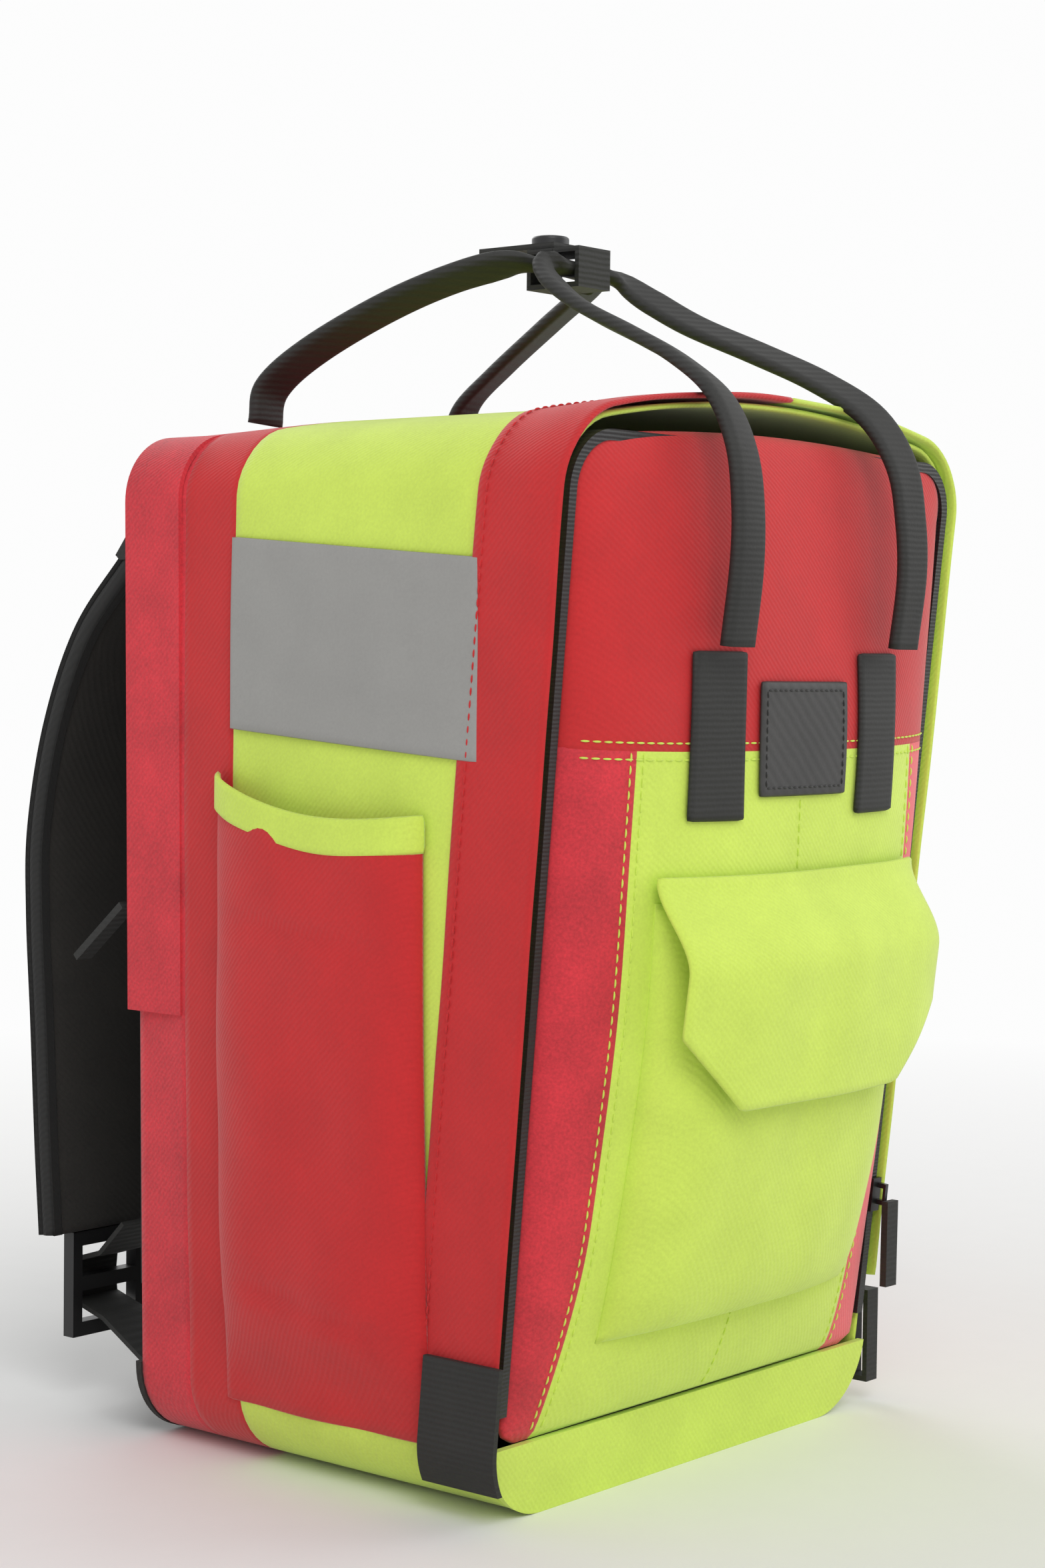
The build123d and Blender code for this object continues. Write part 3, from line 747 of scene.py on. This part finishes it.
def rounded_box(value, ends, power):
    """1 in the middle of a span, falling to 0 at its ends."""
    middle, half = (ends[0] + ends[1]) / 2, (ends[1] - ends[0]) / 2
    return np.clip(1 - np.abs((value - middle) / half) ** power, 0, 1)


def cargo_lift(x, z):
    """How far the cargo pocket stands off the panel."""
    full = rounded_box(x, CARGO_X, 5) ** 0.5 * rounded_box(z, CARGO_Z, 5) ** 0.5
    return 0.6 + CARGO_DEPTH * full + ripple(x, z, 21, 60, 0.8) * full


def cargo_flap_low(x):
    """The flap's lower edge, with its two cut corners."""
    middle, half = sum(CARGO_FLAP_X) / 2, (CARGO_FLAP_X[1] - CARGO_FLAP_X[0]) / 2
    across, rise = CARGO_FLAP_CUT
    return CARGO_FLAP_Z[0] + rise * np.clip((np.abs(x - middle) - (half - across)) / across, 0, 1)


def make_cargo():
    points, uv = panel_grid(*CARGO_X, *CARGO_Z, 60, 60, cargo_lift)
    pocket = cloth("cargo_pocket_cloth", points, uv, 1.6, FINISH["yellow_twill"])
    settle(pocket, "front_panel", "yellow_twill", "cargo_pocket")
    t, x = mesh_grid(np.linspace(0, 1, 34), np.linspace(*CARGO_FLAP_X, 60))
    low, high = cargo_flap_low(x), CARGO_FLAP_Z[1]
    z = low + (high - low) * t
    over = 1 - smooth_step((z - (high - CARGO_FLAP_FOLD)) / CARGO_FLAP_FOLD)
    points = panel(x, z, 2.5 + 16.5 * over + ripple(x, z, 31, 70, 0.7))
    flap = cloth("cargo_flap_cloth", points, np.stack([x, z], -1), 2.2, FINISH["yellow_twill"])
    settle(flap, "cargo_flap", "yellow_twill", "cargo_flap")


# ---------------------------------------------------------------- side pockets
POCKET_Y = (-46.0, 58.0)
POCKET_LOW_Z = 26.0
POCKET_TOP_Z = 252.0
POCKET_TOP_RISE = 12.0
POCKET_TOP_SAG = 7.0
POCKET_BULGE = 11.5
HEM_BULGE = 11.0
HEM_BELOW, HEM_WIDTH = 9.0, 12.0


def pocket_top(y):
    """The pocket's mouth: it rises to the back and sags between its corners."""
    t = (y - POCKET_Y[0]) / (POCKET_Y[1] - POCKET_Y[0])
    return POCKET_TOP_Z + POCKET_TOP_RISE * t - POCKET_TOP_SAG * np.sin(math.pi * t)


def pocket_full(y, half):
    return np.clip(1 - np.abs((y - 6) / half) ** 4, 0, 1) ** 0.6


def make_side_pocket(side, sign):
    t, y = mesh_grid(np.linspace(0, 1, 50), np.linspace(*POCKET_Y, 40))
    z = POCKET_LOW_Z + (pocket_top(y) - POCKET_LOW_Z) * t
    edge = pocket_full(y, 52.5)
    tall = np.clip(1 - np.abs((z - 160) / 134) ** 4, 0, 1) ** 0.5
    lift = 0.8 + POCKET_BULGE * edge * (0.45 + 0.55 * tall) * smooth_step((z - POCKET_LOW_Z) / 45)
    lift = lift + ripple(y, z, 41, 55, 1.0) * edge
    lift = lift - crease(y, z, (-45, 205), (56, 214), 3.0, 1.6) - crease(y, z, (-44, 62), (56, 78), 2.6, 1.8)
    red = cloth("side_pocket_cloth_" + side, side_shell(y, z, lift, sign), np.stack([y, z], -1), 1.6,
                FINISH["bright_red_twill"])
    settle(red, "root", "bright_red_twill", "side_pocket_body_" + side)

    t, y = mesh_grid(np.linspace(0, 1, 8), np.linspace(POCKET_Y[0] - 1, POCKET_Y[1] + 1, 40))
    z = pocket_top(y) - HEM_BELOW + HEM_WIDTH * t
    lift = 1.4 + HEM_BULGE * pocket_full(y, 53.5)
    hem = cloth("side_pocket_hem_cloth_" + side, side_shell(y, z, lift, sign), np.stack([y, z], -1), 2.2,
                FINISH["yellow_twill"])
    settle(hem, "root", "yellow_twill", "side_pocket_hem_" + side)


# ---------------------------------------------------------------- reflective tapes on the sides
TAPE_Y = (-70.0, 52.0)
TAPE_LOW_Z = 276.0
TAPE_RISE = 9.0
TAPE_WIDTH = 72.0
TAPE_STITCH_INSET = 3.5


def tape_low(y):
    return TAPE_LOW_Z + TAPE_RISE * (y - TAPE_Y[0]) / (TAPE_Y[1] - TAPE_Y[0])


def make_side_tape(side, sign):
    def on_side(y, z, lift):
        return side_shell(y, z, lift, sign)

    y, above = mesh_grid(np.linspace(*TAPE_Y, 50), np.linspace(0, TAPE_WIDTH, 24))
    z = tape_low(y) + above
    tape = cloth("side_tape_cloth_" + side, on_side(y, z, 1.1), np.stack([y, z], -1), 0.8,
                 FINISH["reflective_tape"])
    settle(tape, "root", "reflective_tape", "side_tape_" + side)
    run = np.linspace(TAPE_Y[0] + 2, TAPE_Y[1] - 2, 60)
    rows = [outward(surface_line(on_side, run, tape_low(run) + d, 1.2))
            for d in (TAPE_STITCH_INSET, TAPE_WIDTH - TAPE_STITCH_INSET)]
    sewn = stitches("side_tape_stitches_" + side, rows, FINISH["white_thread"])
    settle(sewn, "root", "reflective_tape")


# ---------------------------------------------------------------- storm flaps over the front zip
FLAP_LOW_Z = 56.0
FLAP_MEET_RED, FLAP_MEET_YELLOW = 6.0, 8.0
FLAP_DEPTH = (-3.0, 35.0)
FLAP_STITCH_INSET = 4.0


def make_storm_flaps():
    for name, s0, s1, slot in (
            ("red", section.side(FLAP_LOW_Z, True), TOP_S + FLAP_MEET_RED, "bright_red_twill"),
            ("yellow", TOP_S + FLAP_MEET_YELLOW, section.side(FLAP_LOW_Z, False), "yellow_twill")):
        s, w = mesh_grid(dense(s0, s1, 3), np.linspace(*FLAP_DEPTH, 16))
        lift = 3.6 - 1.6 * smooth_step((w - 6) / 26) + ripple(s, w, 51, 80, 0.5)
        piece = cloth("storm_flap_cloth_" + name, rim(s, w, lift), np.stack([s, w], -1), 2.0, FINISH[slot])
        settle(piece, "root", slot, "storm_flap_" + name)
        run = dense(s0 + FLAP_STITCH_INSET, s1 - FLAP_STITCH_INSET, 3)
        rows = [outward(surface_line(rim, run, 0 * run + FLAP_DEPTH[1] - FLAP_STITCH_INSET, 2.3))]
        settle(stitches("storm_flap_stitches_" + name, rows, FINISH[slot]), "root", slot)


# ---------------------------------------------------------------- carry handles
# Left half of each handle's route; the right half mirrors it.
HANDLES = {
    "front_handle": [(-55, -131, 318), (-55, -134.5, 346), (-54, -134, 368), (-53, -130, 389),
                     (-50, -118, 408), (-45, -97, 422), (-40, -71, 434), (-35, -43, 446),
                     (-30, -24, 457), (-19, -12.5, 466)],
    "back_handle": [(-61, 102, 406), (-60, 99, 421), (-57, 77, 436), (-48, 42, 453),
                    (-36, 13, 464), (-19, 0, 468)],
}
HANDLE_WIDTH = 18.0
CROWN_WIDTH = 10.0
CROWN_HALF = 20.0


def make_handles():
    for name, half in HANDLES.items():
        path = smooth_path(half + [(-x, y, z) for x, y, z in half[::-1]], 150)
        side = np.sign(path[:, 0])
        across = np.stack([np.ones_like(side), 0 * side, 0.25 * side], 1)
        middle = np.abs(path[:, 0]) < CROWN_HALF
        across[middle] = (0, 1, 0)
        for _ in range(10):
            across[1:-1] = (across[:-2] + across[1:-1] + across[2:]) / 3
        width = np.where(middle, CROWN_WIDTH, HANDLE_WIDTH)
        width = np.convolve(np.pad(width, 6, "edge"), np.ones(13) / 13, "valid")
        piece = ribbon(name + "_webbing", path, across, width, 4.6, FINISH["black_webbing"], belly=0.8)
        settle(piece, name, "black_webbing", name)


# ---------------------------------------------------------------- blank patch and the handle's tabs
LABEL_HALF = 27.0
LABEL_Z = (267.0, 308.0)
LABEL_STITCH_INSET = 2.5
TAB_X = (38.0, 66.0)
TAB_Z = (259.0, 318.0)


def make_label():
    points, uv = panel_grid(-LABEL_HALF, LABEL_HALF, *LABEL_Z, 24, 20, 2.2)
    patch = cloth("label_patch_leather", points, uv, 1.6, FINISH["leather_patch"])
    settle(patch, "front_panel", "leather_patch", "label_patch")
    x = LABEL_HALF - LABEL_STITCH_INSET
    low, high = LABEL_Z[0] + LABEL_STITCH_INSET, LABEL_Z[1] - LABEL_STITCH_INSET
    corners = [(-x, low), (x, low), (x, high), (-x, high), (-x, low)]
    rows = [outward(surface_line(panel, np.linspace(a[0], b[0], 20), np.linspace(a[1], b[1], 20), 2.3))
            for a, b in zip(corners, corners[1:])]
    sewn = stitches("label_patch_stitches", rows, FINISH["black_thread"], 2.2, 0.9)
    settle(sewn, "front_panel", "leather_patch")


def make_handle_tab(side, sign):
    points, uv = panel_grid(*sorted(sign * x for x in TAB_X), *TAB_Z, 14, 24, 2.6)
    tab = cloth("handle_tab_webbing_" + side, points, uv, 2.2, FINISH["black_webbing"])
    settle(tab, "front_panel", "black_webbing", "handle_tab_" + side)


# ---------------------------------------------------------------- shoulder straps
# Each point of the pad's route is its depth y and height z.
STRAP_ROUTE = [(129, 349.7), (157, 320), (175, 282), (184.5, 240),
               (185, 205), (182, 160), (179, 110), (176, 72)]
STRAP_X = 82.0
STRAP_SETBACK = 4.0
PAD_WIDTH = 59.0
BINDING_X = 30.0


def make_strap(side, sign):
    path = smooth_path([(sign * STRAP_X, y - STRAP_SETBACK, z) for y, z in STRAP_ROUTE], 90)
    pad = ribbon("strap_pad_foam_" + side, path, (1, 0, 0), PAD_WIDTH, 8, FINISH["strap_padding"], belly=1.2)
    settle(pad, "strap_" + side, "strap_padding", "strap_pad_" + side)
    for number, edge in enumerate((-BINDING_X, BINDING_X)):
        trim = ribbon("strap_binding_%s_%d" % (side, number), path + [edge, 0, 0], (1, 0, 0), 5, 9.6,
                      FINISH["binding_tape"])
        replaced = ["strap_binding_" + side] if number == 0 else []
        settle(trim, "strap_" + side, "binding_tape", *replaced)


# ---------------------------------------------------------------- the whole bag
for make_piece in (make_gusset, make_front_panel, make_cargo, make_storm_flaps, make_handles, make_label):
    make_piece()
for make_piece in (make_side_pocket, make_side_tape, make_handle_tab, make_strap):
    for side_name, side_sign in SIDES:
        make_piece(side_name, side_sign)
